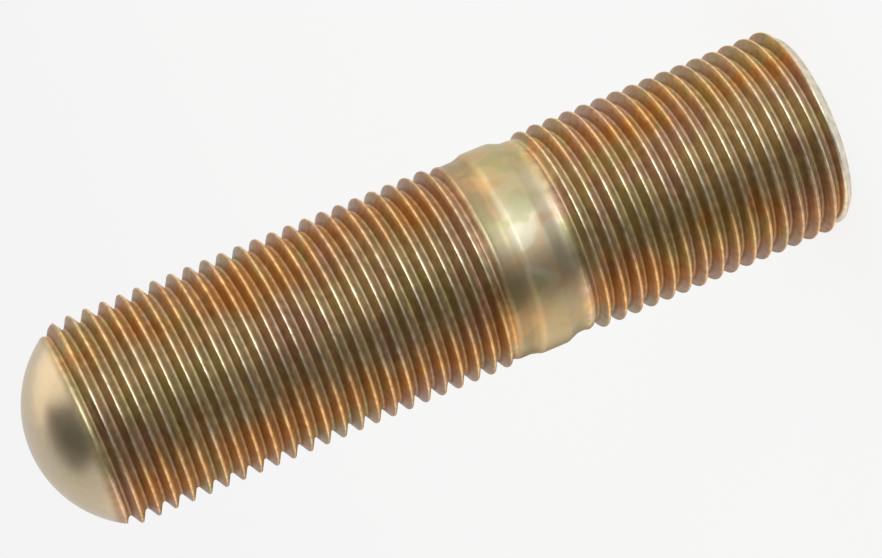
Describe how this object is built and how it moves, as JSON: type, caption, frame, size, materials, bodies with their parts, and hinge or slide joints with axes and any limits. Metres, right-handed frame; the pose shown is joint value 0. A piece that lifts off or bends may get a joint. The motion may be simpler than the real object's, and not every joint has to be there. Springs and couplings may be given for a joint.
{
  "type": "wheel stud",
  "caption": "Double-ended M18 x 1.5 wheel stud with a short hub thread, a plain collar, a long nut thread and a domed nose, in yellow zinc plated steel.",
  "frame": {"origin": "centre of the flat hub end, on the stud's axis", "axes": "+Z along the axis, from the flat hub end towards the domed nose"},
  "size_m": [0.018, 0.018, 0.071],
  "materials": {
    "zinc_plating": "steel with bright zinc plating and yellow chromate passivation, iridescent"
  },
  "bodies": {
    "root": {"wheel_stud": "zinc_plating"}
  },
  "joints": []
}
